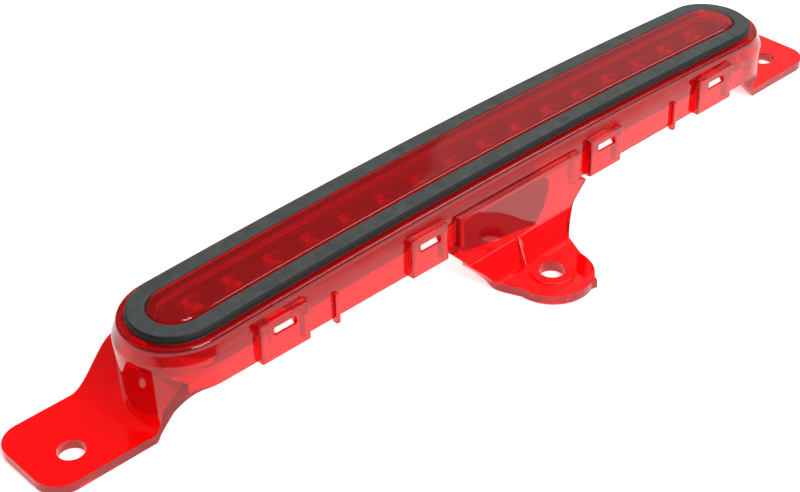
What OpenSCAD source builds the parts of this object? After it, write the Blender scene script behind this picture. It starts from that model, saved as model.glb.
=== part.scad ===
// High-mount brake lamp: crowned red lens housing with two end ears and a middle tab,
// a foam sealing ring around its window, a row of LEDs in a bright reflector, a board,
// a snap-in rear cover and a two-way plug socket.
// Origin: middle of the line between the two ear holes, on the seat plane.
// +X runs along the lamp, +Z is the way the light goes, -Y is the side with the tab.

/* [Seal and window] */
// Overall length of the foam seal
seal_length = 254; // [246:1:258]
// Overall width of the foam seal
seal_width = 28.6; // [28:0.1:29]
// Width of the foam band
seal_band = 6.1; // [5.6:0.1:6.4]
// Thickness of the foam seal and its tape
seal_thick = 2.4; // [2:0.1:3]
// Height of the seal's face above the seat plane, at the middle
seal_height = 35.5; // [35:0.1:36]
// Radius that the lens face is crowned to, along its length
crown_radius = 2500; // [2300:50:3000]
// How far the window stands proud of the seal
window_proud = 0.4; // [0.2:0.1:0.8]
// How far the lens centre line is set back from the ear holes
lens_set = 1.6; // [0:0.1:3]

/* [Housing] */
// Wall thickness of the moulding
wall = 2.2; // [2:0.1:2.4]
// How far the flange stands out past the seal
flange_out = 2.7; // [2.4:0.1:3]
// How far the skirt wall stands out past the seal
skirt_out = 4.1; // [3.9:0.1:4.3]
// Height of the skirt's open edge above the seat plane
skirt_z = 16.5; // [16:0.1:17]
// How far the snap loops stand out past the seal
loop_out = 6.2; // [6:0.1:6.6]

/* [Mounting ears and tab] */
// Distance between the two ear holes
ear_pitch = 300; // [298:0.5:304]
// Diameter of the ear and tab holes
hole_d = 8; // [6.5:0.1:8.5]
// Thickness of the ear and tab pads
pad_thick = 3; // [2.5:0.1:3.5]
// Distance of the tab hole from the line of the ear holes
tab_reach = 35; // [34:0.5:37]

/* [Light source] */
// Number of LEDs in the row
led_count = 16; // [12:2:16]
// Distance from one LED to the next
led_pitch = 14.2; // [13.8:0.1:14.2]

/* [Hidden] */
$fn = 64;
steps = 14;

// Plan radii of the stadium outlines, all about the same two end centres
end_x = (seal_length - seal_width) / 2;
seal_r = seal_width / 2;
window_r = seal_r - seal_band - 0.1;
flange_r = seal_r + flange_out;
skirt_r = seal_r + skirt_out;
loop_y = seal_r + loop_out;

// Heights at the middle of the lamp
window_z = seal_height + window_proud;
window_thick = 2.5;
flange_z = seal_height - seal_thick;
shoulder_z = flange_z - 5.7;
tape_thick = 0.2;

// Ears: plan and side profile
ear_x = ear_pitch / 2;
ear_end = ear_x + 13.5;
ear_near = -9.5;
ear_far = 20.6;
ear_corner = 8;
ear_foot = ear_x - 12.5;
ear_top = ear_x - 29;

// Middle bulge, web and tab
bulge_half = 26;
bulge_z = seal_height - 7.5;
web_half = 29;
tab_half = 18.5;
tab_y = lens_set - tab_reach;
tab_tip_r = 13;
boss_r = 7.2;
boss_high = 0.4;

// Snap loops and ribs: [middle, width] of each loop on the right half
loops = [[38, 14.6], [92.2, 17.3]];
loop_wall = 1.5;
loop_z = 29.2;
far_loop_z = 27.6;
slot_wide = 8;
slot_low = 24.3;
slot_high = 27;
far_slot_high = 26.4;
notch_z = 26;
rib_x = 72.8;

// Inner parts
inner_x = end_x - 6.7;
board_x = inner_x - 3;
board_r = 8.8;
board_z = 20.9;
board_thick = 1.6;
board_top = board_z + board_thick;
led_size = 7.6;
led_body = 3;
led_dome_r = 2.5;
leg_r = 0.3;
leg_at = 2.5;
leg_end = 19.6;
cup_z = board_top + led_body + 0.2;
cup_top = flange_z - wall - 0.2;
channel_r = 8.8;
channel_floor = cup_z + 2;
tray_r = 10.2;
rim_r = 14.5;
rim_thick = 1.2;
rim_z = cup_z - 0.3;
seal_bead = 1.5;
cover_r = 15.6;
cover_wall = 2.4;
cover_rim = rim_z - seal_bead;
rim_wall_low = rim_z - 4;
cover_floor = 17.1;
floor_thick = 1.6;
floor_top = cover_floor + floor_thick;
hook_wide = 6.4;
hook_low = 24.6;
hook_high = 25.8;
hook_reach = 20;

// Plug socket: lowest and highest corners of the shell, in the lens's own plan
shell_left = -23.4;
shell_right = 13;
shell_front = -18.1;
shell_back = -10.4;
shell_low = 9.5;
shell_high = cover_rim - 0.2;
shell_wall = 1.4;
socket_left = shell_left + 1.4;
socket_right = -3.4;
socket_top = 21.6;
blade_x = [-17, -9];
blade_wide = 2.8;
blade_thick = 0.8;
blade_y = -14.2;
blade_tip = 15;
tail_z = 19.7;
tail_y = -6;
spacer_z = 18.6;
ring_z = 17.2;

// Screws that hold the board under the reflector
screw_at = [[-99.4, 1], [-99.4, -1], [-42.6, 1], [-42.6, -1], [42.6, 1], [42.6, -1], [99.4, 1], [99.4, -1]];
screw_y = 6.2;
screw_r = 1.1;
screw_head_r = 2;
screw_head = 1.4;
screw_top = 27;

vent_x = 60;
vent_r = 4;

// Smooth step from 0 to 1
function ease(t) = let (u = max(0, min(1, t))) u * u * (3 - 2 * u);
function led_x(i) = (i - (led_count - 1) / 2) * led_pitch;
// Height of the ear strap's upper face at a distance x from the middle
function strap_z(x) = pad_thick + (skirt_z - pad_thick) * ease((ear_foot - x) / (ear_foot - ear_top));
// Half width of the web under the bulge at height z
function web_x(z) =
    tab_half + (web_half - tab_half) * pow(max(0, z - pad_thick) / (skirt_z - pad_thick), 1.3);

module stadium(r, half = end_x) {
    square([2 * half, 2 * r], center = true);
    for (side = [-1, 1]) translate([side * half, 0]) circle(r = r);
}

// Upright bar of stadium plan between two heights
module bar(r, low, high, half = end_x) {
    translate([0, 0, low]) linear_extrude(high - low) stadium(r, half);
}

// Everything under a crowned surface whose top is at height z
module under_crown(z) {
    translate([0, 0, z - crown_radius]) rotate([90, 0, 0])
        cylinder(r = crown_radius, h = 120, center = true, $fn = 256);
}

// Bar whose top follows the lens crown
module crowned_bar(r, low, high, half = end_x) {
    intersection() {
        bar(r, low, high + 1, half);
        under_crown(high);
    }
}

// Ring of stadium plan between two crowned surfaces
module crowned_ring(r_out, r_in, low, high, half = end_x) {
    difference() {
        crowned_bar(r_out, low - 8, high, half);
        bar(r_in, low - 9, high + 2, half);
        under_crown(low);
    }
}

// Puts a shape drawn about the lens centre line into the lamp's frame
module at_lens() {
    translate([0, -lens_set, 0]) children();
}

// Polygon drawn in X and Z, pulled along Y from one face to the other
module upright(points, front, back) {
    translate([0, back, 0]) rotate([90, 0, 0]) linear_extrude(back - front) polygon(points);
}

module ear_plan() {
    inner = ear_top - 4;
    translate([inner, ear_near]) square([ear_end - ear_corner - inner, ear_far - ear_near]);
    translate([inner, ear_near + ear_corner])
        square([ear_end - inner, ear_far - ear_near - 2 * ear_corner]);
    for (y = [ear_near + ear_corner, ear_far - ear_corner])
        translate([ear_end - ear_corner, y]) circle(r = ear_corner);
    intersection() {
        translate([end_x, 0]) circle(r = skirt_r - 0.3);
        translate([inner, -30]) square([30, 32]);
    }
}

// Points down the strap's upper face, lowered by some amount
function slope(lowered) =
    [for (i = [0:steps]) let (x = ear_top + (ear_foot - ear_top) * i / steps) [x, strap_z(x) - lowered]];
function backwards(points) = [for (i = [len(points) - 1:-1:0]) points[i]];
function mirrored(points) = [for (i = [len(points) - 1:-1:0]) [-points[i][0], points[i][1]]];

// Strap that steps down from the skirt to the pad, and the pad with its hole
module ear() {
    difference() {
        intersection() {
            linear_extrude(skirt_z + 1) ear_plan();
            upright(concat(slope(0), [[ear_end + 1, pad_thick], [ear_end + 1, 0]],
                           backwards(slope(pad_thick))), -30, 30);
        }
        translate([ear_x, lens_set, -1]) cylinder(d = hole_d, h = pad_thick + 2);
    }
}

// Space under the skirt's open edge; at the ends the wall runs on down to the straps
module under_skirt() {
    half = concat([[ear_top, skirt_z]], slope(pad_thick - 0.2), [[ear_end, 0.2], [ear_end, -2]]);
    upright(concat(mirrored(half), half), -30, 30);
}

// U-shaped snap loop up to height top, with its catch slot up to slot_top
module snap_loop(x, wide, top, slot_top) {
    difference() {
        translate([x - wide / 2, -loop_y, skirt_z]) cube([wide, loop_y - flange_r + 0.4, top - skirt_z]);
        translate([x - wide / 2 + loop_wall, -loop_y + loop_wall, skirt_z - 1])
            cube([wide - 2 * loop_wall, loop_y, top - skirt_z - 0.2]);
        translate([x - slot_wide / 2, -loop_y - 1, slot_low]) cube([slot_wide, 4, slot_top - slot_low]);
    }
}

module loop_notch(x, wide) {
    translate([x - wide / 2 + loop_wall, -skirt_r - 0.5, skirt_z - 1])
        cube([wide - 2 * loop_wall, wall + 1.5, notch_z - skirt_z + 1]);
}

module skirt_rib(x) {
    translate([x - 0.8, -skirt_r - 1.2, skirt_z - 1.3]) cube([1.6, 2, 10]);
}

module bulge_shape() {
    flare = [for (i = [steps:-1:0]) let (z = pad_thick + (skirt_z - pad_thick) * i / steps) [web_x(z), z]];
    outline = concat([[bulge_half, bulge_z]], [[bulge_half, skirt_z + 2], [web_half, skirt_z + 2]], flare,
                     [[tab_half, 0], [0, 0], [0, bulge_z]]);
    for (side = [0, 1]) mirror([side, 0, 0]) {
        upright(outline, -loop_y, -skirt_r + 0.2);
        translate([bulge_half - wall, -loop_y, skirt_z]) cube([wall, 4.2, bulge_z - skirt_z]);
    }
    translate([-bulge_half, -loop_y, bulge_z - wall]) cube([2 * bulge_half, 4.2, wall]);
}

module tab_plate() {
    difference() {
        union() {
            linear_extrude(pad_thick) {
                polygon([[-tab_half, -skirt_r + 0.2], [tab_half, -skirt_r + 0.2],
                         [tab_tip_r - 0.3, tab_y], [-tab_tip_r + 0.3, tab_y]]);
                translate([0, tab_y]) circle(r = tab_tip_r);
                polygon([[2.5, tab_y - 11.6], [6.4, tab_y - 12.7], [9.8, tab_y - 6]]);
            }
            translate([0, tab_y, 0]) cylinder(r = boss_r, h = pad_thick + boss_high);
        }
        translate([0, tab_y, -1]) cylinder(d = hole_d, h = pad_thick + 2 + boss_high);
    }
    // Slope that fills the corner between the web and the tab
    translate([-web_x(7), 0, 0]) rotate([90, 0, 90]) linear_extrude(2 * web_x(7))
        polygon([[-loop_y + 0.5, pad_thick - 0.5], [-loop_y - 4.4, pad_thick - 0.5],
                 [-loop_y - 4.4, pad_thick], [-loop_y, 9.6], [-loop_y + 0.5, 9.6]]);
    // Wedge on the slope, wide at its foot
    intersection() {
        translate([-5, 0, 0]) rotate([90, 0, 90]) linear_extrude(7)
            polygon([[-loop_y + 0.5, pad_thick - 0.5], [-loop_y - 6.6, pad_thick - 0.5],
                     [-loop_y - 6.6, pad_thick], [-loop_y, pad_thick + 7.4],
                     [-loop_y + 0.5, pad_thick + 7.4]]);
        upright([[-4.4, 0], [1.2, 0], [1.2, pad_thick], [-1.2, pad_thick + 8], [-2, pad_thick + 8],
                 [-4.4, pad_thick]], -40, 0);
    }
}

module housing_shell() {
    difference() {
        union() {
            crowned_bar(window_r, skirt_z, window_z);
            crowned_bar(flange_r, skirt_z, flange_z);
            crowned_bar(skirt_r, 0, shoulder_z);
        }
        crowned_bar(window_r - wall, skirt_z - 1, window_z - window_thick);
        crowned_bar(flange_r - wall, skirt_z - 1, flange_z - wall);
        crowned_bar(skirt_r - wall, -1, shoulder_z - wall);
        under_skirt();
        for (side = [0, 1]) mirror([0, side, 0]) for (end = [-1, 1], loop = loops)
            loop_notch(end * loop[0], loop[1]);
        translate([wall - bulge_half, -skirt_r - 0.1, skirt_z - 1])
            cube([2 * (bulge_half - wall), 4, bulge_z - wall - skirt_z + 1]);
    }
}

module lens_housing() {
    color([0.8, 0.03, 0.04, 0.8]) at_lens() {
        housing_shell();
        for (side = [0, 1]) mirror([0, side, 0]) for (end = [-1, 1]) {
            for (loop = loops) snap_loop(end * loop[0], loop[1], side == 0 ? loop_z : far_loop_z,
                                         side == 0 ? slot_high : far_slot_high);
            skirt_rib(end * rib_x);
        }
        bulge_shape();
        tab_plate();
        for (end = [0, 1]) mirror([end, 0, 0]) ear();
    }
}

module foam_seal() {
    color([0.16, 0.17, 0.17]) at_lens()
        crowned_ring(seal_r, seal_r - seal_band, flange_z + tape_thick, seal_height);
}

module seal_tape() {
    color([0.85, 0.85, 0.8]) at_lens()
        crowned_ring(seal_r - 0.2, seal_r - seal_band + 0.2, flange_z, flange_z + tape_thick);
}

// Crown drawn as short straight lines, which the tray's top follows
function chords(z) =
    [for (x = [-120:8:120]) [x, z - crown_radius + sqrt(crown_radius * crown_radius - x * x)]];

module under_chords(z) {
    upright(concat(chords(z), [[120, 0], [-120, 0]]), -30, 30);
}

module chord_bar(r, low, high) {
    intersection() {
        bar(r, low, high + 1, inner_x);
        under_chords(high);
    }
}

// Channel with a dish round each LED, and a side wall that stands on the rim
module reflector() {
    color([0.8, 0.8, 0.82]) at_lens() difference() {
        union() {
            difference() {
                chord_bar(tray_r, board_z, cup_top);
                bar(board_r + 0.2, board_z - 1, cup_z, inner_x);
                bar(channel_r, channel_floor, cup_top + 2, inner_x);
            }
            difference() {
                chord_bar(rim_r, rim_wall_low, cup_top - 0.6);
                bar(rim_r - rim_thick, rim_z + rim_thick, cup_top + 2, inner_x);
                bar(tray_r - 0.5, rim_wall_low - 1, cup_top + 2, inner_x);
                under_chords(rim_z);
            }
            for (s = screw_at) translate([s[0], s[1] * screw_y, board_top])
                cylinder(r = screw_head_r + 0.2, h = cup_z - board_top + 1);
        }
        for (i = [0:led_count - 1]) translate([led_x(i), 0, cup_z - 1])
            cylinder(r1 = led_dome_r - 0.7, r2 = led_dome_r + 3.7, h = 3.5);
        for (s = screw_at) translate([s[0], s[1] * screw_y, board_top - 1])
            cylinder(r = screw_r, h = screw_top - board_top + 1);
    }
}

module circuit_board() {
    color([0.05, 0.3, 0.15]) at_lens() difference() {
        bar(board_r, board_z, board_top, board_x);
        for (i = [0:led_count - 1], sx = [-1, 1], sy = [-1, 1])
            translate([led_x(i) + sx * leg_at, sy * leg_at, board_z - 1])
                cylinder(r = leg_r + 0.05, h = board_thick + 2, $fn = 16);
        for (s = screw_at) translate([s[0], s[1] * screw_y, board_z - 1])
            cylinder(r = screw_r + 0.2, h = board_thick + 2);
        for (x = blade_x) translate([x - 0.6, tail_y - 0.6, board_z - 1])
            cube([1.2, 1.2, board_thick + 2]);
    }
}

module led_packages() {
    color([0.9, 0.3, 0.3, 0.8]) at_lens() for (i = [0:led_count - 1]) translate([led_x(i), 0, board_top]) {
        translate([-led_size / 2, -led_size / 2, 0]) cube([led_size, led_size, led_body]);
        translate([0, 0, led_body]) intersection() {
            sphere(r = led_dome_r, $fn = 48);
            translate([-5, -5, -0.5]) cube(10);
        }
    }
}

module led_legs() {
    color("silver") at_lens() for (i = [0:led_count - 1], sx = [-1, 1], sy = [-1, 1])
        translate([led_x(i) + sx * leg_at, sy * leg_at, leg_end])
            cylinder(r = leg_r, h = board_top - leg_end, $fn = 16);
}

module solder_joints() {
    color([0.75, 0.76, 0.78]) at_lens() for (i = [0:led_count - 1], sx = [-1, 1], sy = [-1, 1])
        translate([led_x(i) + sx * leg_at, sy * leg_at, board_z - 0.9]) difference() {
            cylinder(r1 = leg_r + 0.15, r2 = 0.95, h = 0.9, $fn = 16);
            translate([0, 0, -1]) cylinder(r = leg_r, h = 3, $fn = 16);
        }
}

// Chip part under the board: its middle, size and height
module under_board(x, y, size) {
    translate([x - size[0] / 2, y - size[1] / 2, board_z - size[2]]) cube(size);
}

module resistors() {
    color([0.08, 0.08, 0.09]) at_lens()
        for (k = [-6, -5, -4, -2, 2, 4, 5, 6]) under_board(k * led_pitch, 2.6, [1.6, 3.2, 0.6]);
}

module polarity_diode() {
    color([0.12, 0.12, 0.13]) at_lens() under_board(-1 * led_pitch, 0, [2.7, 4.4, 1.7]);
}

module filter_capacitors() {
    color([0.72, 0.62, 0.45]) at_lens()
        for (y = [-2.4, 2.4]) under_board(0, y, [3.2, 2.5, 1.6]);
}

module current_regulator() {
    color([0.1, 0.1, 0.11]) at_lens() under_board(led_pitch, 0, [5, 6.6, 1.9]);
}

module board_screws() {
    color([0.62, 0.62, 0.64]) at_lens() for (s = screw_at) translate([s[0], s[1] * screw_y, 0]) {
        translate([0, 0, board_z]) cylinder(r = screw_r, h = screw_top - board_z - 0.2);
        difference() {
            translate([0, 0, board_z - screw_head]) cylinder(r = screw_head_r, h = screw_head);
            translate([0, 0, board_z - screw_head - 0.1]) cylinder(r = 0.9, h = 0.8, $fn = 6);
        }
    }
}

// Ramped hook on the cover's wall, which catches in a loop's slot
module hook(x) {
    translate([x - hook_wide / 2, 0, 0]) rotate([90, 0, 90]) linear_extrude(hook_wide)
        polygon([[-cover_r + 0.6, floor_top], [-cover_r + 0.6, 21], [-cover_r + 0.2, 21],
                 [-cover_r + 0.2, hook_high], [-hook_reach + 1, hook_high], [-hook_reach, hook_low],
                 [-cover_r - 1.4, hook_low], [-cover_r - 1.4, floor_top + 2], [-cover_r - 0.2, floor_top]]);
}

module rear_cover() {
    color([0.93, 0.92, 0.9]) at_lens() difference() {
        union() {
            difference() {
                crowned_bar(cover_r, cover_floor, cover_rim, inner_x);
                bar(cover_r - cover_wall, floor_top, cover_rim + 2, inner_x);
            }
            for (side = [0, 1]) mirror([0, side, 0]) for (end = [-1, 1], loop = loops)
                hook(end * loop[0]);
            for (k = [-6, -4, 4, 6], y = [-6.4, 6.4]) translate([k * led_pitch, y, floor_top - 1])
                cylinder(r = 1.2, h = board_z - floor_top + 1);
        }
        translate([shell_left - 0.1, -cover_r - 1, cover_floor - 1])
            cube([shell_right - shell_left + 0.2, cover_r + 1 + shell_back + 0.1, 9]);
        translate([vent_x, 0, cover_floor - 1]) cylinder(r = 1.5, h = 4);
    }
}

module cover_seal() {
    color([0.3, 0.3, 0.31]) at_lens()
        crowned_ring(rim_r, cover_r - cover_wall, cover_rim, rim_z, inner_x);
}

module connector_shell() {
    color([0.2, 0.17, 0.17]) at_lens() difference() {
        upright([[shell_left, shell_low + 5], [shell_right - 5.5, shell_low], [shell_right - 2, shell_low + 4],
                 [shell_right, shell_low + 10], [shell_right, shell_high], [shell_left, shell_high]],
                shell_front, shell_back);
        translate([socket_left, shell_front + shell_wall, shell_low - 1])
            cube([socket_right - socket_left, shell_back - shell_front - 2 * shell_wall,
                  socket_top - shell_low + 1]);
        for (x = blade_x) translate([x - blade_wide / 2 - 0.1, shell_back - shell_wall - 1, tail_z - 0.1])
            cube([blade_wide + 0.2, shell_wall + 2, blade_thick + 0.2]);
        translate([1, shell_front + shell_wall, shell_low + 8.5])
            cube([shell_right - 3, shell_back - shell_front - 2 * shell_wall, 20]);
    }
}

module socket_block(inset, low, high) {
    translate([socket_left + inset, shell_front + shell_wall + inset, low])
        cube([socket_right - socket_left - 2 * inset,
              shell_back - shell_front - 2 * (shell_wall + inset), high - low]);
}

module terminal_spacer() {
    color([0.85, 0.83, 0.78]) at_lens() difference() {
        socket_block(0.1, spacer_z, tail_z - 0.1);
        for (x = blade_x) translate([x - blade_wide / 2, blade_y - blade_thick / 2, spacer_z - 1])
            cube([blade_wide, blade_thick, 4]);
    }
}

module terminal_ring() {
    color([0.8, 0.35, 0.1]) at_lens() difference() {
        socket_block(0, ring_z, spacer_z);
        socket_block(1.2, ring_z - 1, spacer_z + 1);
    }
}

// Blade in the socket, flat tail under the board and a pin up through it
module connector_terminals() {
    color([0.85, 0.7, 0.35]) at_lens() for (x = blade_x) {
        translate([x - blade_wide / 2, blade_y - blade_thick / 2, blade_tip])
            cube([blade_wide, blade_thick, tail_z - blade_tip + blade_thick]);
        translate([x - blade_wide / 2, blade_y, tail_z])
            cube([blade_wide, tail_y - blade_y + 0.5, blade_thick]);
        translate([x - 0.5, tail_y - 0.5, tail_z]) cube([1, 1, board_top - tail_z + 0.8]);
    }
}

module vent_membrane() {
    color([0.9, 0.9, 0.92]) at_lens()
        translate([vent_x, 0, cover_floor - 0.3]) cylinder(r = vent_r, h = 0.3);
}

lens_housing();
foam_seal();
seal_tape();
reflector();
circuit_board();
led_packages();
led_legs();
solder_joints();
resistors();
polarity_diode();
filter_capacitors();
current_regulator();
board_screws();
rear_cover();
cover_seal();
connector_shell();
terminal_spacer();
terminal_ring();
connector_terminals();
vent_membrane();
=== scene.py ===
# High-mount brake lamp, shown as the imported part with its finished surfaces.
# Sections follow the order in which the real lamp is put together.
import math

import bmesh
import bpy
from mathutils import Matrix, Vector


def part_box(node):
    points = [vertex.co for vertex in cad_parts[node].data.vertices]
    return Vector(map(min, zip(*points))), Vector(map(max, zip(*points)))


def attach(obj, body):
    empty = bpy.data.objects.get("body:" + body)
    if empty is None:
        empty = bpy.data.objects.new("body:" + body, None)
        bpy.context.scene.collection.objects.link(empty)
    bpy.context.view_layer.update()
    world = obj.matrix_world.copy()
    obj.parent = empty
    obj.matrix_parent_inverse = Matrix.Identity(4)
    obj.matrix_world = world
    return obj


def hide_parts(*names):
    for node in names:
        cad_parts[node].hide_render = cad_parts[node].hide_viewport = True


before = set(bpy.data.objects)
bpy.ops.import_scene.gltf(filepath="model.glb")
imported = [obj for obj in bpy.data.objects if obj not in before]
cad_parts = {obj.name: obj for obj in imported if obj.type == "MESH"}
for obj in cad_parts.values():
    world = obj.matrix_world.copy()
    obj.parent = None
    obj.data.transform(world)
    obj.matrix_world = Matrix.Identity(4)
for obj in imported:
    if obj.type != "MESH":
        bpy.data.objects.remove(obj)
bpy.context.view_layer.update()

# ---- Lens housing --------------------------------------------------------------------
# One red transparent acrylic moulding, made in a two-part tool with side cores for its
# loops: window, flange, shoulder and skirt in one shell, with two ears and a middle tab.
# Every outline is a stadium about the same two end centres, and the top is crowned.
seal_low, seal_high = (1000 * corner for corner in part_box("foam_seal"))
skin_low, skin_high = (1000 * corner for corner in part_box("lens_housing"))
lens_y = (seal_low.y + seal_high.y) / 2
seal_r = (seal_high.y - seal_low.y) / 2
end_x = seal_high.x - seal_r
seal_top = seal_high.z
crown_radius = 2500.0


def crown_drop(x):
    """How far the crowned face has fallen at x."""
    return x * x / (2 * crown_radius)


def ease(t):
    """Smooth step from 0 to 1."""
    t = max(0.0, min(1.0, t))
    return t * t * (3 - 2 * t)


def new_mesh(name, points_mm, faces):
    """A mesh object at the origin from points in millimetres, with outward normals."""
    mesh = bpy.data.meshes.new(name)
    mesh.from_pydata([Vector(p) * 0.001 for p in points_mm], [], faces)
    tidy = bmesh.new()
    tidy.from_mesh(mesh)
    bmesh.ops.remove_doubles(tidy, verts=tidy.verts, dist=1e-6)
    bmesh.ops.recalc_face_normals(tidy, faces=tidy.faces)
    tidy.to_mesh(mesh)
    tidy.free()
    thing = bpy.data.objects.new(name, mesh)
    bpy.context.scene.collection.objects.link(thing)
    return thing


def stadium_path(straight_steps, turn_steps):
    """Points round the stadium: middle of the turn, and the outward direction."""
    path = []
    for i in range(straight_steps):
        path.append((-end_x + 2 * end_x * i / straight_steps, 0.0, -1.0))
    for i in range(turn_steps):
        a = math.pi * (i / turn_steps - 0.5)
        path.append((end_x, math.cos(a), math.sin(a)))
    for i in range(straight_steps):
        path.append((end_x - 2 * end_x * i / straight_steps, 0.0, 1.0))
    for i in range(turn_steps):
        a = math.pi * (i / turn_steps + 0.5)
        path.append((-end_x, math.cos(a), math.sin(a)))
    return path


def swept(name, rows, closed_profile, straight_steps=56, turn_steps=28):
    """Carries a profile round the stadium. A row is a radius and a height function."""
    path = stadium_path(straight_steps, turn_steps)
    points = []
    for radius, height in rows:
        for x, nx, ny in path:
            px = x + radius * nx
            points.append((px, lens_y + radius * ny, height(px, radius * ny)))
    n = len(path)
    last = len(rows) if closed_profile else len(rows) - 1
    faces = []
    for k in range(last):
        a, b = k * n, ((k + 1) % len(rows)) * n
        for i in range(n):
            j = (i + 1) % n
            faces.append((a + i, a + j, b + j, b + i))
    return new_mesh(name, points, faces)


def crowned(z):
    """Height function that follows the crown, z below or above the seal's top."""
    return lambda x, y: seal_top + z - crown_drop(x)


# Skirt and straps, in millimetres from the lamp's middle and from the seat
ear_x = 150.0
ear_far = 20.6
pad_thick = 3.0
skirt_z = 16.5
strap_start = 121.0
strap_overlap = 2.9  # how far the skirt runs down behind a strap's upper face
foot_out, foot_spread = 24.8, 42.0
near_start, near_blend = -7.0, 6.0
fall_start, fall_length, fall_power = 118.0, 12.0, 2.2


def strap_foot(y):
    """Where the strap's slope meets the flat pad: it follows the round end of the lamp."""
    return end_x + foot_out * math.sqrt(max(0.0, 1 - ((ear_far - y) / foot_spread) ** 2))


def near_share(y):
    """How much the near side's own edge curve counts at y, from 0 to 1."""
    return ease((near_start - y) / near_blend)


def near_edge(x):
    """Open edge of the wall on the near side, where it falls away to the pad."""
    along = max(0.0, min(1.0, (x - fall_start) / fall_length))
    return skirt_z * (1 - along ** fall_power)


def strap_z(x, y):
    """Height of a strap's upper face."""
    foot = strap_foot(y)
    middle = pad_thick + (skirt_z - pad_thick) * ease((foot - x) / (foot - strap_start))
    return middle + (near_edge(x) + strap_overlap - middle) * near_share(y)


def skirt_edge(x, y):
    """Open edge of the skirt: level, and at the ends running down under the ear straps."""
    if abs(x) <= strap_start:
        level = skirt_z - strap_overlap * ease((abs(x) - strap_start + 2.5) / 2.5)
        return level + (near_edge(abs(x)) - level) * near_share(y)
    return strap_z(abs(x), y) - strap_overlap


def wall_row(share, shoulder):
    """Height a share of the way from the skirt's edge up to the shoulder."""
    return lambda x, y: skirt_edge(x, y) + share * (
        seal_top + shoulder - crown_drop(x) - skirt_edge(x, y))


def raised(z):
    """Height a little above the skirt's edge, which rounds that edge."""
    return lambda x, y: skirt_edge(x, y) + z


# Outside from the window's middle down to the skirt's edge, then back up inside
shell_rows = [
    (0.0, crowned(0.4)), (4.0, crowned(0.4)), (7.3, crowned(0.4)), (7.75, crowned(0.33)),
    (8.0, crowned(0.1)), (8.08, crowned(-0.2)), (8.1, crowned(-1.2)), (8.15, crowned(-2.2)),
    (8.35, crowned(-2.4)), (12.0, crowned(-2.4)), (14.45, crowned(-2.4)), (15.5, crowned(-2.4)),
    (15.8, crowned(-2.34)), (16.05, crowned(-2.25)), (16.3, crowned(-2.27)),
    (16.55, crowned(-2.42)), (16.75, crowned(-2.7)), (16.87, crowned(-3.05)),
    (16.95, crowned(-3.4)), (17.15, crowned(-4.0)),
    (18.15, crowned(-6.5)), (18.3, crowned(-7.0)), (18.38, crowned(-7.6)), (18.4, crowned(-8.6)),
    (18.4, wall_row(0.75, -9.2)), (18.4, wall_row(0.4, -9.2)), (18.4, raised(0.6)),
    (18.33, raised(0.25)), (18.1, raised(0.03)), (17.3, raised(0.0)), (16.5, raised(0.03)),
    (16.27, raised(0.25)), (16.2, raised(0.6)), (16.2, wall_row(0.4, -11.2)),
    (16.2, wall_row(0.75, -11.2)), (16.2, crowned(-10.8)), (16.0, crowned(-10.3)),
    (15.5, crowned(-9.7)), (15.1, crowned(-5.6)), (14.9, crowned(-4.9)), (14.4, crowned(-4.6)),
    (10.0, crowned(-4.6)), (6.4, crowned(-4.6)), (6.05, crowned(-4.4)), (5.9, crowned(-4.0)),
    (5.9, crowned(-2.6)), (5.7, crowned(-2.2)), (5.2, crowned(-2.1)), (0.0, crowned(-2.1)),
]
housing = swept("lens_housing_moulding", shell_rows, False)


def sheet_solid(name, tops, bottoms):
    """Closed solid between two grids of points with the same rows and columns."""
    rows, columns = len(tops), len(tops[0])
    points = [p for row in tops for p in row] + [p for row in bottoms for p in row]
    half = rows * columns
    faces = []
    for r in range(rows - 1):
        for c in range(columns - 1):
            a = r * columns + c
            faces.append((a, a + 1, a + columns + 1, a + columns))
            faces.append((half + a, half + a + columns, half + a + columns + 1, half + a + 1))
    rim = [c for c in range(columns)] + [r * columns + columns - 1 for r in range(1, rows)]
    rim += [(rows - 1) * columns + c for c in range(columns - 2, -1, -1)]
    rim += [r * columns for r in range(rows - 2, 0, -1)]
    for i, a in enumerate(rim):
        b = rim[(i + 1) % len(rim)]
        faces.append((a, half + a, half + b, b))
    return new_mesh(name, points, faces)


def applied(thing, kind, **settings):
    """Adds one modifier, bakes it into the mesh and takes it off again."""
    step = thing.modifiers.new("step", kind)
    for name, value in settings.items():
        setattr(step, name, value)
    bpy.context.view_layer.update()
    done = bpy.data.meshes.new_from_object(
        thing.evaluated_get(bpy.context.evaluated_depsgraph_get()))
    thing.modifiers.remove(step)
    old, thing.data = thing.data, done
    bpy.data.meshes.remove(old)
    return thing


def rounded(thing, width_mm, segments=2, angle=40):
    """Bevels the edges that turn by more than an angle."""
    return applied(thing, "BEVEL", width=width_mm * 0.001, segments=segments,
                   limit_method="ANGLE", angle_limit=math.radians(angle),
                   harden_normals=False)


def block(name, low, high, round_mm=0.0):
    """Box between two corners in millimetres, with rounded edges if asked."""
    corners = [(x, y, z) for x in (low[0], high[0]) for y in (low[1], high[1])
               for z in (low[2], high[2])]
    faces = [(0, 1, 3, 2), (4, 6, 7, 5), (0, 4, 5, 1), (2, 3, 7, 6), (0, 2, 6, 4), (1, 5, 7, 3)]
    made = new_mesh(name, corners, faces)
    return rounded(made, round_mm) if round_mm else made


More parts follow.
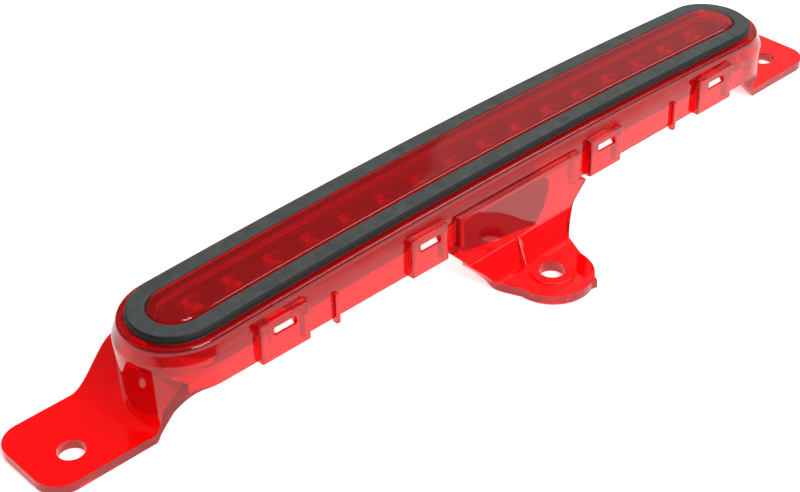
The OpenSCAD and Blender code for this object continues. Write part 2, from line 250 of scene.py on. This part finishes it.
def drum(name, centre, radius, low, high, sides=64, round_mm=0.0):
    """Upright cylinder in millimetres."""
    ring = [(centre[0] + radius * math.cos(2 * math.pi * i / sides),
             centre[1] + radius * math.sin(2 * math.pi * i / sides)) for i in range(sides)]
    points = [(x, y, low) for x, y in ring] + [(x, y, high) for x, y in ring]
    faces = [tuple(range(sides)), tuple(range(2 * sides - 1, sides - 1, -1))]
    faces += [(i, (i + 1) % sides, sides + (i + 1) % sides, sides + i) for i in range(sides)]
    made = new_mesh(name, points, faces)
    return rounded(made, round_mm) if round_mm else made


def combined(thing, others, operation):
    """Joins others to a solid, or cuts them from it, and removes them."""
    group = bpy.data.collections.new("tools")
    for other in others:
        group.objects.link(other)
    applied(thing, "BOOLEAN", operation=operation, operand_type="COLLECTION",
            collection=group, solver="EXACT", use_self=(operation == "UNION"))
    bpy.data.collections.remove(group)
    for other in others:
        bpy.data.objects.remove(other)
    return thing


# Ears: a strap that steps down from the skirt to a flat pad with one hole
ear_end = skin_high.x
ear_near, ear_corner = -9.5, 8.0
ear_round = 18.1  # the strap's near end keeps just inside the skirt's face
hole_r = 4.0
edge_round = 0.55


def ear_near_edge(x):
    if x < ear_end - ear_corner:
        reach = ear_round ** 2 - (x - end_x) ** 2
        return min(ear_near, -math.sqrt(max(0.0, reach)))
    along = x - (ear_end - ear_corner)
    return ear_near + ear_corner - math.sqrt(max(0.0, ear_corner ** 2 - along ** 2))


def ear_far_edge(x):
    if x < ear_end - ear_corner:
        return ear_far
    along = x - (ear_end - ear_corner)
    return ear_far - ear_corner + math.sqrt(max(0.0, ear_corner ** 2 - along ** 2))


def ear(side):
    """One strap and pad, on the left for -1 and on the right for 1."""
    xs = [strap_start + i * 0.75 for i in range(24)]
    xs += [139.5, 142, 145, 148, 151, 153.5, ear_end - ear_corner]
    xs += [ear_end - ear_corner * (1 - math.sin(math.pi / 2 * i / 10)) for i in range(1, 11)]
    tops, bottoms = [], []
    for x in xs:
        near, far = ear_near_edge(x), ear_far_edge(x)
        across = [near + (far - near) * k / 24 for k in range(25)]
        tops.append([(side * x, lens_y + y, strap_z(x, y)) for y in across])
        bottoms.append([(side * x, lens_y + y, strap_z(x, y) - pad_thick) for y in across])
    made = sheet_solid("ear", tops, bottoms)
    hole = drum("hole", (side * ear_x, 0.0), hole_r, -2, 6)
    combined(made, [hole], "DIFFERENCE")
    return rounded(made, edge_round, 3)


# Middle tab: the bulge's front runs down as a web, turns outwards and ends in a round tip
tab_y = -35.0 - lens_y
tab_tip_r, tab_taper = 13.0, 0.45
front_y, web_thick = -20.5, 2.2
bulge_top = seal_top - 7.5
bulge_half, web_top_half, web_foot_half = 26.0, 29.0, 18.5


def web_half(z):
    """Half width of the bulge's front, and of the web below it, at height z."""
    if z > skirt_z:
        flare = ease((skirt_z + 1.6 - z) / 1.4)
        return bulge_half + (web_top_half - bulge_half) * flare
    share = max(0.0, z - pad_thick) / (skirt_z - pad_thick)
    return web_foot_half + (web_top_half - web_foot_half) * share ** 1.3


def tab_half(y):
    """Half width of the tab: it tapers to the hole and ends round."""
    if y > tab_y:
        return tab_tip_r + tab_taper * (y - tab_y)
    return math.sqrt(max(0.0, tab_tip_r ** 2 - (y - tab_y) ** 2))


def middle_tab():
    """Upright web, a short slope and the flat tab, carried across their width."""
    stops = []
    heights = [bulge_top - i * 1.2 for i in range(9)] + [18.0, 17.8, 17.5, 17.2, 16.9, 16.6]
    heights += [skirt_z - 0.4 - i * 0.8 for i in range(8)]
    for z in heights:
        stops.append((front_y, z, front_y + web_thick, z, web_half(z)))
    turn = [(-20.56, 9.95, -18.36, 9.3), (-20.8, 9.4, -18.55, 8.6), (-21.2, 8.8, -18.9, 7.9),
            (-22.9, 6.3, -20.6, 5.3), (-24.6, 3.9, -22.5, 2.4), (-25.2, pad_thick, -23.6, 0.8),
            (-26.0, pad_thick, -24.8, 0.15), (-26.8, pad_thick, -26.2, 0.0)]
    for y, z, under_y, under_z in turn:
        stops.append((y, z, under_y, under_z, tab_half(y) + web_half(z) - web_foot_half))
    ys = [-28.0, -29.5, -31.0, -32.3, tab_y]
    ys += [tab_y - tab_tip_r * math.sin(math.pi / 2 * i / 14) for i in range(1, 15)]
    for y in ys:
        stops.append((y, pad_thick, y, 0.0, max(0.05, tab_half(y))))
    tops, bottoms = [], []
    for y, z, y2, z2, half in stops:
        across = [half * (k / 10 - 1) for k in range(21)]
        tops.append([(x, lens_y + y, z) for x in across])
        bottoms.append([(x, lens_y + y2, z2) for x in across])
    return rounded(sheet_solid("tab", tops, bottoms), edge_round, 3, 50)


def spur():
    """Small pointed corner beside the tab's tip."""
    plan = [(2.5, tab_y - 11.6), (6.4, tab_y - 12.7), (9.8, tab_y - 6.0)]
    low = [(x, lens_y + y, 0.12) for x, y in plan]
    high = [(x, lens_y + y, pad_thick - 0.12) for x, y in plan]
    faces = [(0, 1, 2), (3, 5, 4), (0, 3, 4, 1), (1, 4, 5, 2), (2, 5, 3, 0)]
    return new_mesh("spur", low + high, faces)


def gusset():
    """Wedge in the corner between the web and the tab, narrow at its top."""
    side_view = [(front_y + 1, 8.0), (front_y - 6.4, 2.4), (front_y - 6.4, 3.1),
                 (front_y - 0.1, 10.4), (front_y + 1, 10.4)]
    middle, half = -1.6, [2.8, 2.8, 2.7, 0.45, 0.45]
    left = [(middle - w, lens_y + y, z) for w, (y, z) in zip(half, side_view)]
    right = [(middle + w, lens_y + y, z) for w, (y, z) in zip(half, side_view)]
    faces = [(0, 1, 2, 3, 4), (9, 8, 7, 6, 5)]
    faces += [(i, 5 + i, 5 + (i + 1) % 5, (i + 1) % 5) for i in range(5)]
    return rounded(new_mesh("gusset", left + right, faces), 0.35)


# All that joins the shell, then the holes, slots and rooms cut from the whole moulding
boss_r, boss_high = 7.2, 0.45
loops = ((38.0, 14.6), (92.2, 17.3))  # middle and width of each loop on one half
loop_y, loop_wall = 20.5, 1.5
loop_tops = {-1: 29.25, 1: 27.6}
slot_half, slot_low = 4.0, 24.3
slot_tops = {-1: 27.0, 1: 26.4}
notch_top = 26.0
rib_x, rib_half, rib_top = 72.8, 0.8, 25.3


def across_lens(side, outer, inner):
    """Lower and higher y of a piece that stands on one side of the lens."""
    return sorted((lens_y + side * outer, lens_y + side * inner))


additions = [ear(-1), ear(1), middle_tab(), spur(), gusset()]
additions.append(drum("boss", (0, lens_y + tab_y), boss_r, 1.0, pad_thick + boss_high, 64, 0.3))
additions.append(block("bulge", (0.1 - bulge_half, lens_y - 19.7, 16.1),
                       (bulge_half - 0.1, lens_y - 15.9, bulge_top - 0.05), 0.6))
cuts = [drum("hole", (0, lens_y + tab_y), hole_r, -2, 6),
        block("bulge_room", (web_thick - bulge_half, lens_y - 18.34, 14.0),
              (bulge_half - web_thick, lens_y - 14.4, bulge_top - web_thick))]
for side in (-1, 1):
    for x, wide in [(end * at, w) for end in (-1, 1) for at, w in loops]:
        low, high = across_lens(side, loop_y, 16.4)
        additions.append(block("loop", (x - wide / 2, low, skirt_z - 0.15),
                               (x + wide / 2, high, loop_tops[side]), edge_round))
        room = wide / 2 - loop_wall
        low, high = across_lens(side, 19.0, 18.1)
        cuts.append(block("gap", (x - room, low, skirt_z - 2),
                          (x + room, high, loop_tops[side] - 1.2), 0.2))
        low, high = across_lens(side, 18.5, 14.0)
        cuts.append(block("notch", (x - room + 0.02, low, skirt_z - 2.1),
                          (x + room - 0.02, high, notch_top), 0.2))
        low, high = across_lens(side, 21.5, 18.0)
        cuts.append(block("slot", (x - slot_half, low, slot_low),
                          (x + slot_half, high, slot_tops[side]), 0.35))
    for x in (-rib_x, rib_x):
        low, high = across_lens(side, 19.6, 17.6)
        additions.append(block("rib", (x - rib_half, low, skirt_z - 1.3),
                               (x + rib_half, high, rib_top), 0.3))
combined(housing, additions, "UNION")
combined(housing, cuts, "DIFFERENCE")


def finished(thing, angle=32):
    """Smooth faces with crisp edges, and normals weighted to the large faces."""
    thing.data.shade_smooth()
    thing.data.set_sharp_from_angle(angle=math.radians(angle))
    return applied(thing, "WEIGHTED_NORMAL", keep_sharp=True)


finished(housing)


def linear(hex_colour):
    """sRGB hex to the linear colour that a shader takes."""
    parts = [int(hex_colour[i:i + 2], 16) / 255 for i in (1, 3, 5)]
    return tuple(p / 12.92 if p <= 0.04045 else ((p + 0.055) / 1.055) ** 2.4
                 for p in parts) + (1.0,)


def add(tree, kind, inputs=None, **settings):
    """Adds a shader node. Each input is a value, or another node's output to link."""
    made = tree.nodes.new("ShaderNode" + kind)
    for name, value in settings.items():
        setattr(made, name, value)
    for name, value in (inputs or {}).items():
        if isinstance(value, bpy.types.NodeSocket):
            tree.links.new(value, made.inputs[name])
        else:
            made.inputs[name].default_value = value
    return made


def new_material(name):
    """An empty material, its tree and the place on the piece that its patterns read."""
    material = bpy.data.materials.new(name)
    material.use_nodes = True
    material.node_tree.nodes.clear()
    tree = material.node_tree
    place = add(tree, "TexCoord").outputs["Object"]
    return material, tree, place


def finish_material(tree, shader, volume=None):
    """Joins the surface, and for a dyed solid its volume, to the output."""
    out = add(tree, "OutputMaterial", {"Surface": shader})
    if volume:
        tree.links.new(volume, out.inputs["Volume"])


def dress(thing, material):
    """Gives a piece its one material."""
    thing.data.materials.clear()
    thing.data.materials.append(material)


# Moulded acrylic, dyed red: hard, glossy and clear, with a little of the light scattered
# back. Walls glow with what is behind them, and edges seen along a wall go dark. Weak
# flow marks a few centimetres long soften the gloss.
acrylic, tree, place = new_material("red_moulded_acrylic")
flow = add(tree, "TexNoise", {"Vector": place, "Scale": 45.0, "Detail": 2.0})
haze = add(tree, "MapRange", {"Value": flow.outputs["Fac"], "From Min": 0.3, "From Max": 0.7,
                              "To Min": 0.02, "To Max": 0.07})
wave = add(tree, "Bump", {"Height": flow.outputs["Fac"], "Strength": 0.25, "Distance": 0.0002})
clear = add(tree, "BsdfPrincipled", {
    "Base Color": linear("#de101c"), "IOR": 1.49, "Transmission Weight": 0.84,
    "Roughness": haze.outputs["Result"], "Normal": wave.outputs["Normal"]})
passing = add(tree, "BsdfTransparent", {"Color": linear("#ffffff")})
ray = add(tree, "LightPath")
both = add(tree, "MixShader", {"Fac": ray.outputs["Is Shadow Ray"]})
tree.links.new(clear.outputs[0], both.inputs[1])
tree.links.new(passing.outputs[0], both.inputs[2])
dye = add(tree, "VolumeAbsorption", {"Color": (0.978, 0.05, 0.06, 1.0), "Density": 1200.0})
finish_material(tree, both.outputs[0], dye.outputs[0])
dress(housing, acrylic)
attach(housing, "root")
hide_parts("lens_housing")

# ---- Foam seal and its tape ----------------------------------------------------------
# A die-cut ring of black closed-cell foam with adhesive tape on its back, pressed onto
# the flange round the window. The knife leaves the edges slightly rounded.
seal_rows = [(8.45, crowned(-2.25)), (8.25, crowned(-1.9)), (8.2, crowned(-1.2)),
             (8.3, crowned(-0.45)), (8.7, crowned(-0.08)), (9.3, crowned(0.0)),
             (11.2, crowned(0.0)), (13.2, crowned(0.0)), (13.6, crowned(-0.1)),
             (13.95, crowned(-0.38)), (14.18, crowned(-0.8)), (14.3, crowned(-1.4)),
             (14.22, crowned(-2.0)), (14.0, crowned(-2.25)), (11.2, crowned(-2.25))]
seal = swept("foam_seal_ring", seal_rows, True, 112, 40)
finished(seal, 60)
# Closed-cell foam, die cut: a dull grey skin on top, and the sides painted near black as
# painted shade, with cells under a millimetre and slow lumps that keep the face from looking flat.
foam, tree, place = new_material("closed_cell_foam")
cells = add(tree, "TexVoronoi", {"Vector": place, "Scale": 1500.0})
lumps = add(tree, "TexNoise", {"Vector": place, "Scale": 260.0, "Detail": 4.0})
facing = add(tree, "SeparateXYZ", {
    "Vector": tree.nodes["Texture Coordinate"].outputs["Normal"]})
# Painted shade: the more a face tilts away from up, the nearer black its colour.
painted_side_shade = add(tree, "MapRange", {"Value": facing.outputs["Z"],
                                    "From Min": 0.84, "From Max": 0.97})
tone = add(tree, "ValToRGB", {"Fac": lumps.outputs["Fac"]})
tone.color_ramp.elements[0].position = 0.3
tone.color_ramp.elements[0].color = linear("#343937")
tone.color_ramp.elements[1].position = 0.7
tone.color_ramp.elements[1].color = linear("#454b48")
tone_with_painted_side_shade = add(tree, "MixRGB", {"Fac": painted_side_shade.outputs["Result"], "Color1": linear("#070808"),
                           "Color2": tone.outputs["Color"]})
fine = add(tree, "Bump", {"Height": cells.outputs["Distance"], "Strength": 0.35,
                          "Distance": 0.0002})
soft = add(tree, "Bump", {"Height": lumps.outputs["Fac"], "Strength": 0.3, "Distance": 0.0005,
                          "Normal": fine.outputs["Normal"]})
skin = add(tree, "BsdfPrincipled", {"Base Color": tone_with_painted_side_shade.outputs["Color"], "Roughness": 0.62,
                                    "Specular IOR Level": 0.3, "Sheen Weight": 0.1,
                                    "Normal": soft.outputs["Normal"]})
finish_material(tree, skin.outputs[0])
dress(seal, foam)
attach(seal, "root")
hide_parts("foam_seal")

# Tissue tape: a thin line at the foam's foot, coloured dark grey as painted shade for the gap
# there, with a faint fibrous mottle.
tape, tree, place = new_material("adhesive_tape")
fibres = add(tree, "TexNoise", {"Vector": place, "Scale": 700.0, "Detail": 3.0})
tape_tone_with_painted_gap_shade = add(tree, "ValToRGB", {"Fac": fibres.outputs["Fac"]})
# Painted shade: both tones are dark grey so the tape's line reads as the shaded gap at the foam's
# foot.
tape_tone_with_painted_gap_shade.color_ramp.elements[0].color = linear("#3b3837")
tape_tone_with_painted_gap_shade.color_ramp.elements[1].color = linear("#4a4644")
film = add(tree, "BsdfPrincipled", {"Base Color": tape_tone_with_painted_gap_shade.outputs["Color"], "Roughness": 0.45})
finish_material(tree, film.outputs[0])
dress(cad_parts["seal_tape"], tape)

# ---- Reflector -----------------------------------------------------------------------
# A moulded tray with a long channel and a dish round each LED, vacuum metallised all
# over. The board is screwed to its back, and both go into the housing from behind.
def refined(node, piece_name, edge_mm, material, segments=2):
    """Smooth copy of a CAD node with its edges eased, which stands for the node."""
    made = bpy.data.objects.new(piece_name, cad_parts[node].data.copy())
    bpy.context.scene.collection.objects.link(made)
    work = bmesh.new()
    work.from_mesh(made.data)
    bmesh.ops.remove_doubles(work, verts=work.verts, dist=2e-6)
    bmesh.ops.dissolve_limit(work, angle_limit=math.radians(0.6),
                             verts=work.verts, edges=work.edges)
    work.to_mesh(made.data)
    work.free()
    if edge_mm:
        applied(made, "BEVEL", width=edge_mm * 0.001, segments=segments, limit_method="ANGLE",
                angle_limit=math.radians(50), use_clamp_overlap=True)
    finished(made)
    dress(made, material)
    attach(made, "root")
    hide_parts(node)
    return made


# Vacuum metallised plastic: a grey mirror, slightly blurred, whose film follows the
# mould's ripple of a few millimetres.
bright, tree, place = new_material("vacuum_metallised_plastic")
ripple = add(tree, "TexNoise", {"Vector": place, "Scale": 260.0, "Detail": 2.0})
orange = add(tree, "Bump", {"Height": ripple.outputs["Fac"], "Strength": 0.35, "Distance": 0.0003})
mirror = add(tree, "BsdfPrincipled", {"Base Color": linear("#a2a2a6"), "Metallic": 1.0,
                                      "Roughness": 0.2, "Normal": orange.outputs["Normal"]})
finish_material(tree, mirror.outputs[0])
refined("reflector", "reflector_tray", 0.15, bright)

# ---- Circuit board -------------------------------------------------------------------
# Glass-epoxy laminate under green solder mask, with the copper tracks showing through
# as paler bands along the board. It is held under the reflector by its screws.
mask, tree, place = new_material("green_solder_mask")
stretched = add(tree, "Mapping", {"Vector": place, "Scale": (60.0, 420.0, 1.0)})
tracks = add(tree, "TexBrick", {"Vector": stretched.outputs["Vector"], "Scale": 1.0,
                                "Color1": linear("#12502a"), "Color2": linear("#175c31"),
                                "Mortar": linear("#0b3a1e"), "Mortar Size": 0.04})
rise = add(tree, "Bump", {"Height": tracks.outputs["Fac"], "Strength": 0.4, "Distance": 0.00005})
lacquer = add(tree, "BsdfPrincipled", {"Base Color": tracks.outputs["Color"], "Roughness": 0.3,
                                       "Normal": rise.outputs["Normal"]})
finish_material(tree, lacquer.outputs[0])
refined("circuit_board", "board", 0.0, mask)

# ---- LEDs and their legs -------------------------------------------------------------
# Square through-hole LEDs, cast in red-tinted clear epoxy round a plated frame. Their
# legs pass through the board and are soldered under it.
# Cast epoxy: pinkish, half clear and glossy, with faint swirls.
epoxy, tree, place = new_material("red_tinted_cast_epoxy")
swirl = add(tree, "TexNoise", {"Vector": place, "Scale": 500.0, "Detail": 2.0})
depth = add(tree, "MapRange", {"Value": swirl.outputs["Fac"], "To Min": 0.08, "To Max": 0.16})
casting = add(tree, "BsdfPrincipled", {"Base Color": linear("#ff9a92"), "IOR": 1.53,
                                       "Transmission Weight": 0.55,
                                       "Roughness": depth.outputs["Result"]})
finish_material(tree, casting.outputs[0])
refined("led_packages", "led_bodies", 0.3, epoxy)
# Tinned copper and solder: a pale metal, dulled in small patches.
tinned, tree, place = new_material("tinned_copper")
drag = add(tree, "TexNoise", {"Vector": place, "Scale": 2500.0, "Detail": 2.0})
dull = add(tree, "MapRange", {"Value": drag.outputs["Fac"], "To Min": 0.25, "To Max": 0.45})
plating = add(tree, "BsdfPrincipled", {"Base Color": linear("#cfd0d2"), "Metallic": 1.0,
                                       "Roughness": dull.outputs["Result"]})
finish_material(tree, plating.outputs[0])
refined("led_legs", "led_leg_set", 0.0, tinned)
refined("solder_joints", "solder_fillets", 0.0, tinned)

# ---- Parts under the board -----------------------------------------------------------
# Chip resistors, a diode and a regulator in black moulded epoxy, and two ceramic
# capacitors, all reflow soldered. Eight screws hold the board under the reflector.
# Moulded epoxy: near black and matt, with a fine dusty grain.
moulding, tree, place = new_material("black_moulded_epoxy")
dust = add(tree, "TexNoise", {"Vector": place, "Scale": 3000.0, "Detail": 2.0})
matt = add(tree, "Bump", {"Height": dust.outputs["Fac"], "Strength": 0.3, "Distance": 0.00005})
block_skin = add(tree, "BsdfPrincipled", {"Base Color": linear("#232325"), "Roughness": 0.55,
                                          "Normal": matt.outputs["Normal"]})
finish_material(tree, block_skin.outputs[0])
for node, piece in (("resistors", "chip_resistors"), ("polarity_diode", "diode"),
                    ("current_regulator", "regulator")):
    refined(node, piece, 0.12, moulding)
# Fired ceramic: tan and dry, mottled by its grains.
ceramic, tree, place = new_material("fired_ceramic")
bits = add(tree, "TexNoise", {"Vector": place, "Scale": 2500.0, "Detail": 2.0})
shade = add(tree, "ValToRGB", {"Fac": bits.outputs["Fac"]})
shade.color_ramp.elements[0].color = linear("#b09a72")
shade.color_ramp.elements[1].color = linear("#c2ad86")
biscuit = add(tree, "BsdfPrincipled", {"Base Color": shade.outputs["Color"], "Roughness": 0.5})
finish_material(tree, biscuit.outputs[0])
refined("filter_capacitors", "capacitors", 0.15, ceramic)
# Zinc-plated steel: a bluish grey metal, brighter and duller in small patches.
zinc, tree, place = new_material("zinc_plated_steel")
spangle = add(tree, "TexNoise", {"Vector": place, "Scale": 1800.0, "Detail": 3.0})
patchy = add(tree, "MapRange", {"Value": spangle.outputs["Fac"], "To Min": 0.25, "To Max": 0.45})
coating = add(tree, "BsdfPrincipled", {"Base Color": linear("#b9bbbf"), "Metallic": 1.0,
                                       "Roughness": patchy.outputs["Result"]})
finish_material(tree, coating.outputs[0])
refined("board_screws", "screws", 0.1, zinc)

# ---- Rear cover and its seal ---------------------------------------------------------
# White moulded ABS tray whose hooks spring into the housing's loops. A foam cord on its
# rim keeps dust out.
# Moulded ABS: warm white, and the mould's spark-eroded grain gives a soft, even sheen.
white, tree, place = new_material("white_moulded_abs")
grain = add(tree, "TexNoise", {"Vector": place, "Scale": 900.0, "Detail": 3.0})
texture = add(tree, "Bump", {"Height": grain.outputs["Fac"], "Strength": 0.25, "Distance": 0.0001})
shell = add(tree, "BsdfPrincipled", {"Base Color": linear("#eeebe4"), "Roughness": 0.42,
                                     "Normal": texture.outputs["Normal"]})
finish_material(tree, shell.outputs[0])
refined("rear_cover", "cover", 0.3, white)
# Foam cord: mid grey and dull, pitted by its cells.
cord_foam, tree, place = new_material("grey_foam_cord")
pores = add(tree, "TexVoronoi", {"Vector": place, "Scale": 1400.0})
pit = add(tree, "Bump", {"Height": pores.outputs["Distance"], "Strength": 0.4, "Distance": 0.0002})
strand = add(tree, "BsdfPrincipled", {"Base Color": linear("#6f6f70"), "Roughness": 0.8,
                                      "Normal": pit.outputs["Normal"]})
finish_material(tree, strand.outputs[0])
refined("cover_seal", "cover_gasket", 0.25, cord_foam)

# ---- Connector -----------------------------------------------------------------------
# A shell of dark glass-filled nylon stands in the housing's bulge, with its socket
# facing back. Two tinned brass terminals run from the board into it, held by a spacer
# and sealed by a silicone ring.
# Glass-filled nylon: brown-black and satin, roughened by the fibres near its surface.
nylon, tree, place = new_material("dark_glass_filled_nylon")
flecks = add(tree, "TexNoise", {"Vector": place, "Scale": 1200.0, "Detail": 3.0})
rough = add(tree, "Bump", {"Height": flecks.outputs["Fac"], "Strength": 0.3, "Distance": 0.0001})
body = add(tree, "BsdfPrincipled", {"Base Color": linear("#2a2424"), "Roughness": 0.45,
                                    "Normal": rough.outputs["Normal"]})
finish_material(tree, body.outputs[0])
refined("connector_shell", "socket_shell", 0.4, nylon)
# Natural nylon: waxy off-white that lets a little light in.
natural, tree, place = new_material("natural_nylon")
cloud = add(tree, "TexNoise", {"Vector": place, "Scale": 400.0, "Detail": 2.0})
tone = add(tree, "ValToRGB", {"Fac": cloud.outputs["Fac"]})
tone.color_ramp.elements[0].color = linear("#d8d2c2")
tone.color_ramp.elements[1].color = linear("#e4dfd2")
waxy = add(tree, "BsdfPrincipled", {"Base Color": tone.outputs["Color"], "Roughness": 0.4,
                                    "Subsurface Weight": 0.1, "Subsurface Scale": 0.001})
finish_material(tree, waxy.outputs[0])
refined("terminal_spacer", "spacer", 0.1, natural)
# Silicone rubber: orange, with a dull bloom that comes and goes.
silicone, tree, place = new_material("orange_silicone_rubber")
bloom = add(tree, "TexNoise", {"Vector": place, "Scale": 600.0, "Detail": 2.0})
velvet = add(tree, "MapRange", {"Value": bloom.outputs["Fac"], "To Min": 0.4, "To Max": 0.6})
rubber = add(tree, "BsdfPrincipled", {"Base Color": linear("#c9601f"),
                                      "Roughness": velvet.outputs["Result"]})
finish_material(tree, rubber.outputs[0])
refined("terminal_ring", "silicone_ring", 0.2, silicone)
# Tinned brass strip: pale gold metal, with fine rolling lines along the blade.
brass, tree, place = new_material("tinned_brass_strip")
rolled = add(tree, "Mapping", {"Vector": place, "Scale": (2500.0, 2500.0, 300.0)})
lines = add(tree, "TexNoise", {"Vector": rolled.outputs["Vector"], "Scale": 1.0, "Detail": 2.0})
sheen = add(tree, "MapRange", {"Value": lines.outputs["Fac"], "To Min": 0.2, "To Max": 0.35})
strip = add(tree, "BsdfPrincipled", {"Base Color": linear("#d6c48e"), "Metallic": 1.0,
                                     "Roughness": sheen.outputs["Result"]})
finish_material(tree, strip.outputs[0])
refined("connector_terminals", "terminals", 0.12, brass)

# ---- Vent membrane -------------------------------------------------------------------
# A disc of breathable white film, die cut and stuck over the cover's vent hole, which
# lets the lamp's air pass but not water.
# Breathable film: white and quite matt, with a fine creping.
film, tree, place = new_material("breathable_film")
web = add(tree, "TexVoronoi", {"Vector": place, "Scale": 2200.0})
crepe = add(tree, "Bump", {"Height": web.outputs["Distance"], "Strength": 0.3, "Distance": 0.00008})
cloth = add(tree, "BsdfPrincipled", {"Base Color": linear("#d9dade"), "Roughness": 0.75,
                                     "Normal": crepe.outputs["Normal"]})
finish_material(tree, cloth.outputs[0])
refined("vent_membrane", "vent_disc", 0.08, film)

# ---- Floor, light and camera ---------------------------------------------------------
# A plain pale table lit from below, soft lamps overhead and at the tab's side, a weak one
# at the far end for the window's gloss, and faint light all round.
reach, floor_z = 3000, -0.3
floor = new_mesh("floor", [(-reach, -reach, floor_z), (reach, -reach, floor_z),
                           (reach, reach, floor_z), (-reach, reach, floor_z)], [(0, 1, 2, 3)])
# White card over a light table: even, bright and nearly without gloss.
paper, tree, place = new_material("white_card")
card = add(tree, "BsdfPrincipled", {
    "Base Color": linear("#f4f4f3"), "Roughness": 0.7, "Specular IOR Level": 0.2,
    "Emission Color": linear("#ffffff"), "Emission Strength": 0.5})
finish_material(tree, card.outputs[0])
dress(floor, paper)

world = bpy.data.worlds.new("room")
bpy.context.scene.world = world
world.use_nodes = True
backdrop = world.node_tree.nodes["Background"]
backdrop.inputs["Color"].default_value = linear("#ffffff")
backdrop.inputs["Strength"].default_value = 0.15


def soft_lamp(name, place, target, size, power):
    """Square area lamp, in metres and watts, that faces its target."""
    lamp = bpy.data.lights.new(name, "AREA")
    lamp.shape, lamp.size, lamp.energy = "SQUARE", size, power
    holder = bpy.data.objects.new(name, lamp)
    bpy.context.scene.collection.objects.link(holder)
    holder.location = place
    holder.rotation_euler = (Vector(target) - Vector(place)).to_track_quat("-Z", "Y").to_euler()


soft_lamp("overhead", (0.6, 0.05, 1.5), (0, 0, 0), 1.2, 10)
soft_lamp("key", (0.85, -0.6, 1.1), (0, 0, 0), 0.9, 8)
soft_lamp("near_side", (-0.1, -1.1, 0.95), (0, 0, 0.02), 0.7, 17)
soft_lamp("far_card", (1.25, 0.75, 0.72), (0.09, 0, 0.03), 0.8, 0.6)

# The camera stands half a metre off and above the left end, on the tab's side. Across is
# its right hand, forward is where it looks.
camera = bpy.data.cameras.new("camera")
camera.sensor_width = 36.0
camera.lens = 74.96
viewer = bpy.data.objects.new("camera", camera)
bpy.context.scene.collection.objects.link(viewer)
bpy.context.scene.camera = viewer
across = Vector((0.7329, -0.6800, -0.0221)).normalized()
forward = Vector((0.5432, 0.6044, -0.5828)).normalized()
forward = (forward - across * forward.dot(across)).normalized()
up = across.cross(forward)
turn = Matrix((across, up, -forward)).transposed()
stand = Vector((-0.3048, -0.3056, 0.3042))
viewer.matrix_world = Matrix.Translation(stand) @ turn.to_4x4()
bpy.context.scene.view_settings.view_transform = "Standard"
